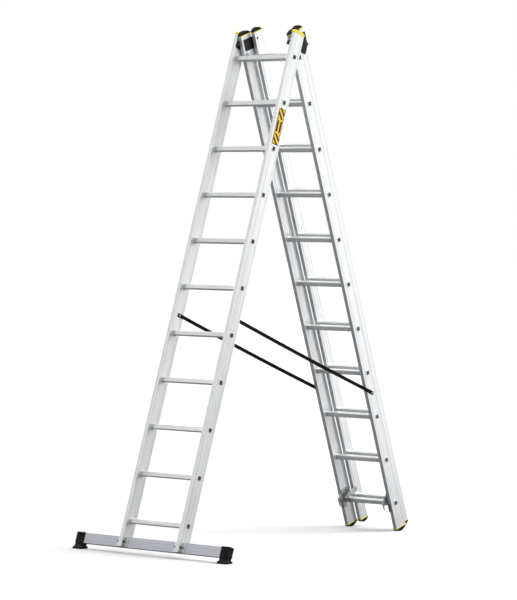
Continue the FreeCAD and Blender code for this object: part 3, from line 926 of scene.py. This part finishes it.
def makeStrap(values, side):
    spots = strapFrame(values, side)
    length = (spots[1] - spots[0]).length
    total = length + 2 * values["tail"]
    halfThick = values["thick"] / 2
    section = values["section"]
    start = values["patternStart"]
    quick, slow = values["waves"]
    form = bmesh.new()
    flat = form.loops.layers.uv.new("flat")
    rings = []
    for step in range(values["steps"] + 1):
        reach = -values["tail"] + total * step / values["steps"]
        wave = values["edgeWave"] * math.sin(reach * quick + side) * math.sin(reach * slow)
        ring = []
        for wideShare, thickShare in section:
            offset = wideShare * values["width"] + wave
            point = strapPoint(values, spots, reach, offset, thickShare * halfThick)
            ring.append(form.verts.new(point))
        rings.append((reach, ring))
    count = len(section)
    for (firstReach, first), (nextReach, following) in zip(rings, rings[1:]):
        for number in range(count):
            after = (number + 1) % count
            face = form.faces.new((first[number], first[after], following[after], following[number]))
            corners = ((number, firstReach), (after, firstReach), (after, nextReach), (number, nextReach))
            for loop, (corner, reach) in zip(face.loops, corners):
                loop[flat].uv = (section[corner][0] * values["width"] + start, reach + start)
            face.smooth = True
    form.faces.new(list(reversed(rings[0][1])))
    form.faces.new(rings[-1][1])
    bmesh.ops.recalc_face_normals(form, faces=form.faces)
    mesh = bpy.data.meshes.new("strap")
    form.to_mesh(mesh)
    form.free()
    return mesh, spots


def stitchTree(values):
    tree, given, result = newGrowth("seamStitches", [("Stitch", "Float"), ("Thread", "Float")])
    path = addNode(tree, "GeometryNodeMeshToCurve")
    feed(tree, path.inputs["Mesh"], given.outputs["Geometry"])
    points = addNode(tree, "GeometryNodeCurveToPoints", mode="LENGTH")
    feed(tree, points.inputs["Curve"], path.outputs[0])
    feed(tree, points.inputs["Length"], given.outputs["Stitch"])
    thread = addNode(tree, "GeometryNodeMeshUVSphere")
    segments, rings = values["threadFacets"]
    thread.inputs["Segments"].default_value = segments
    thread.inputs["Rings"].default_value = rings
    thread.inputs["Radius"].default_value = 0.5
    reach = calc(tree, "MULTIPLY", given.outputs["Stitch"], values["threadShare"])
    size = vector(tree, given.outputs["Thread"], given.outputs["Thread"], reach)
    shape = moved(tree, thread.outputs[0], scale=size)
    stitches = instance(tree, points.outputs["Points"], shape, points.outputs["Rotation"])
    return endGrowth(tree, given, result, stitches)


def seamPath(values, spots, face):
    # a box with a cross inside it, near each end of the strap
    length = (spots[1] - spots[0]).length
    half = values["seamRow"] / 2
    lift = face * values["thick"] / 2
    inset = values["seamInset"]
    frontSeam = (inset, inset + values["seamLength"])
    middleSeam = (length - inset - values["seamLength"], length - inset)
    vertices = []
    edges = []
    for near, far in (frontSeam, middleSeam):
        first = len(vertices)
        for reach, offset in ((near, -half), (near, half), (far, half), (far, -half)):
            vertices.append(strapPoint(values, spots, reach, offset, lift))
        edges += [(first, first + 1), (first + 1, first + 2), (first + 2, first + 3), (first + 3, first)]
        cross = len(vertices)
        for reach, offset in ((near, -half), (far, half), (near, half), (far, -half)):
            vertices.append(strapPoint(values, spots, reach, offset, lift))
        edges += [(cross, cross + 1), (cross + 2, cross + 3)]
    host = bpy.data.meshes.new("seam")
    host.from_pydata(vertices, edges, [])
    return host


def addStraps(values=strap):
    tree = stitchTree(values)
    inputs = {"Stitch": values["stitch"], "Thread": values["threadWidth"], "Material": threadFinish}
    for sideName, side in sides.items():
        mesh, spots = makeStrap(values, side)
        grown = [grow(tree, inputs, seamPath(values, spots, face)) for face in (-1, 1)]
        mesh.materials.append(strapWebbing)
        web = bpy.data.objects.new("webbing_strap_" + sideName, mesh)
        bpy.context.collection.objects.link(web)
        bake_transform(web)
        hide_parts("strap_" + sideName)
        for number, seam in enumerate(grown):
            stitches = bpy.data.objects.new("strap_stitches_" + sideName + "_" + str(number + 1), seam)
            bpy.context.collection.objects.link(stitches)
            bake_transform(stitches)


addStraps()
print("straps woven and stitched")


# rubber feet of the stabiliser
shoe = {
    # rings from the sole up: height, how far out from the block, share of the stile's lean
    "sole": [(0.0, 0.0035, 0.0), (0.0008, 0.0050, 0.0), (0.0030, 0.0055, 0.0), (0.0095, 0.0055, 0.0),
             (0.0120, 0.0046, 0.05), (0.0135, 0.0025, 0.15), (0.0150, -0.0006, 0.3),
             (0.0200, -0.0020, 0.6), (0.0290, -0.0018, 1.0)],
    "grips": 6,
    "gripGap": 0.0080,
    "gripDeep": 0.0009,
    "gripShape": [(0.35, 0), (0.45, 1), (0.85, 1), (0.95, 0)],  # shares of the gap and of the depth
    "topRound": 0.0045,
    "roundShare": 0.35,  # how far in and down the round's middle ring lies
    "halfWidth": 0.0320,
    "halfDepth": 0.0220,
    "corner": 0.0055,
    "cornerSteps": 4,
}


def ringPoints(values, halfWidth, halfDepth):
    # a rounded rectangle
    corner = values["corner"]
    turnStep = 90 / (values["cornerSteps"] - 1)
    points = []
    for sx, sy, start in ((1, 1, 0), (-1, 1, 90), (-1, -1, 180), (1, -1, 270)):
        for step in range(values["cornerSteps"]):
            turn = math.radians(start + turnStep * step)
            points.append((sx * (halfWidth - corner) + corner * math.cos(turn),
                           sy * (halfDepth - corner) + corner * math.sin(turn)))
    return points


def shoeRings(values, top):
    # each ring's height, half width, half depth and lean
    halfWidth = values["halfWidth"]
    halfDepth = values["halfDepth"]
    rings = []
    for height, flare, share in values["sole"]:
        rings.append((height, halfWidth + flare, halfDepth + flare, share * frontLean))
    soleTop = values["sole"][-1][0]
    for grip in range(values["grips"]):
        for step, share in values["gripShape"]:
            height = soleTop + (grip + step) * values["gripGap"]
            deep = share * values["gripDeep"]
            rings.append((height, halfWidth - deep, halfDepth - deep, frontLean))
    curve = values["topRound"]
    shrink = curve * values["roundShare"]
    rings.append((top - curve, halfWidth, halfDepth, frontLean))
    rings.append((top - shrink, halfWidth - shrink, halfDepth - shrink, frontLean))
    rings.append((top, halfWidth - curve, halfDepth - curve, frontLean))
    return rings


def makeShoe(values, node):
    low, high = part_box(node)
    barLow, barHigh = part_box("stabiliser_bar")
    barMiddle = (barLow + barHigh) / 2
    slope = math.tan(frontLean)
    footX = (low.x + high.x) / 2
    footY = barMiddle.y - barMiddle.z * slope
    top = high.z - values["halfDepth"] * math.sin(frontLean)
    form = bmesh.new()
    made = []
    for height, halfWidth, halfDepth, lean in shoeRings(values, top):
        centre = Vector((footX, footY + height * slope, height))
        turn = Matrix.Rotation(-lean, 3, "X")
        ring = [form.verts.new(centre + turn @ Vector((x, y, 0)))
                for x, y in ringPoints(values, halfWidth, halfDepth)]
        made.append(ring)
    count = len(made[0])
    for first, following in zip(made, made[1:]):
        for number in range(count):
            after = (number + 1) % count
            form.faces.new((first[number], first[after], following[after], following[number]))
    form.faces.new(list(reversed(made[0])))
    form.faces.new(made[-1])
    for face in form.faces:
        face.smooth = True
    bmesh.ops.recalc_face_normals(form, faces=form.faces)
    mesh = bpy.data.meshes.new("shoe")
    form.to_mesh(mesh)
    form.free()
    return mesh


def addShoes(values=shoe):
    for sideName in sides:
        node = "stabiliser_foot_" + sideName
        mesh = makeShoe(values, node)
        piece = keepPiece("rubber_shoe_" + sideName, mesh, "front_section", material=footRubber)
        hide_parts(node)


addShoes()
print("stabiliser feet moulded")


view = {
    "place": (13.048, -14.526, 2.169),  # out from the front section's top rung, and up from the floor
    "turn": 42.03,
    "dip": 2.20,
    "lens": 200.6,
    "sensor": 36,
    "farthest": 200,
}


def addCamera(values=view):
    camera = bpy.data.objects.new("camera", bpy.data.cameras.new("camera"))
    topRung = frontPlace.to_translation()
    camera.location = Vector(values["place"]) + Vector((0, topRung.y, 0))
    camera.rotation_euler = (math.radians(90 - values["dip"]), 0, math.radians(values["turn"]))
    camera.data.lens = values["lens"]
    camera.data.sensor_width = values["sensor"]
    camera.data.clip_end = values["farthest"]
    bpy.context.collection.objects.link(camera)
    bpy.context.scene.camera = camera


addCamera()
print("camera placed")


studio = {
    "floorRadius": 60.0,
    "floorFacets": 96,
    "floorPale": (0.64, 0.64, 0.645, 1),
    "floorPatch": (0.8, 0.8, 0.8, 1),
    "floorPatches": 1.2,
    "floorPatchAmount": 0.03,
    "floorShadeInBounces": (0.10, 0.10, 0.105, 1),  # darker in reflections and bounced light: painted shade on the ladder's downward faces
    "floorRoughness": 0.8,
    "floorSpecular": 0.1,
    "backdrop": 1.0,
    "ambient": 0.20,
    "glows": [
        # towards, where it starts and is full (as a cosine), strength
        ((0.72, 0.66, 0.25), 0.20, 0.95, 0.9),
        ((-0.50, 0.50, 0.62), 0.30, 0.90, 1.15),
        ((-0.67, -0.57, 0.55), 0.45, 0.95, 0.66),
        ((0.0, -0.9, 0.45), 0.55, 0.95, 0.25),
    ],
    "panel": {
        "place": (1.6, 2.2, 1.5),
        "towards": (0.2, 0.45, 1.5),
        "size": (1.2, 3.0),
        "power": 8.0,
    },
    "lamps": [
        # name, where it shines from, how wide it looks in degrees, strength
        ("overheadLamp", (0.45, 0.35, 1.0), 32, 1.9),
        ("rightLamp", (1.0, 0.35, 0.45), 45, 0.75),
    ],
    "lampDistance": 6,
}


def addWorld(values=studio):
    world = bpy.data.worlds.new("studio")
    world.use_nodes = True
    tree = world.node_tree
    sky = tree.nodes["Background"]
    sky.inputs["Color"].default_value = (1, 1, 1, 1)
    towards = addNode(tree, "ShaderNodeTexCoord").outputs["Generated"]
    strength = values["ambient"]
    for direction, low, high, glow in values["glows"]:
        dot = addNode(tree, "ShaderNodeVectorMath", operation="DOT_PRODUCT")
        feed(tree, dot.inputs[0], towards)
        dot.inputs[1].default_value = Vector(direction).normalized()
        softly = addNode(tree, "ShaderNodeMapRange", interpolation_type="SMOOTHSTEP")
        feed(tree, softly.inputs[0], dot.outputs["Value"])
        softly.inputs["From Min"].default_value = low
        softly.inputs["From Max"].default_value = high
        softly.inputs["To Max"].default_value = glow
        strength = calc(tree, "ADD", strength, softly.outputs[0])
    seen = addNode(tree, "ShaderNodeLightPath").outputs["Is Camera Ray"]
    mixed = addNode(tree, "ShaderNodeMix", data_type="FLOAT")
    feed(tree, mixed.inputs[0], seen)
    feed(tree, mixed.inputs[2], strength)
    mixed.inputs[3].default_value = values["backdrop"]
    feed(tree, sky.inputs["Strength"], mixed.outputs[0])
    bpy.context.scene.world = world


def addFloor(values=studio):
    form = bmesh.new()
    bmesh.ops.create_circle(form, cap_ends=True, radius=values["floorRadius"], segments=values["floorFacets"])
    mesh = bpy.data.meshes.new("floor")
    form.to_mesh(mesh)
    form.free()
    floor = bpy.data.objects.new("floor", mesh)
    bpy.context.collection.objects.link(floor)
    made, tree, shader, place, _ = startMaterial("paleFloor")
    seen = addNode(tree, "ShaderNodeLightPath").outputs["Is Camera Ray"]
    patchNoise = noise(tree, place, values["floorPatches"], 4.0)
    patches = spread(tree, patchNoise, 0.3, 0.7, 0.0, values["floorPatchAmount"])
    pale = mixColour(tree, patches, values["floorPale"], values["floorPatch"])
    # the floor is pale to the camera and dark in reflections and bounced light, painting shade on the
    # ladder's downward faces and undersides
    feed(tree, shader.inputs["Base Color"], mixColour(tree, seen, values["floorShadeInBounces"], pale))
    shader.inputs["Roughness"].default_value = values["floorRoughness"]
    shader.inputs["Specular IOR Level"].default_value = values["floorSpecular"]
    mesh.materials.append(made)


def hangLamp(name, lamp, place, turn):
    hung = bpy.data.objects.new(name, lamp)
    hung.location = place
    hung.rotation_euler = turn.to_euler()
    bpy.context.collection.objects.link(hung)


def addLamps(values=studio):
    for name, source, width, power in values["lamps"]:
        lamp = bpy.data.lights.new(name, "SUN")
        lamp.angle = math.radians(width)
        lamp.energy = power
        source = Vector(source)
        hangLamp(name, lamp, source * values["lampDistance"], source.to_track_quat("Z", "Y"))

    panel = values["panel"]
    lamp = bpy.data.lights.new("rearPanel", "AREA")
    lamp.shape = "RECTANGLE"
    lamp.size, lamp.size_y = panel["size"]
    lamp.energy = panel["power"]
    shines = Vector(panel["towards"]) - Vector(panel["place"])
    hangLamp("rearPanel", lamp, panel["place"], shines.to_track_quat("-Z", "Y"))


addWorld()
addFloor()
addLamps()
bpy.context.scene.view_settings.view_transform = "Standard"
print("floor and lamps placed")
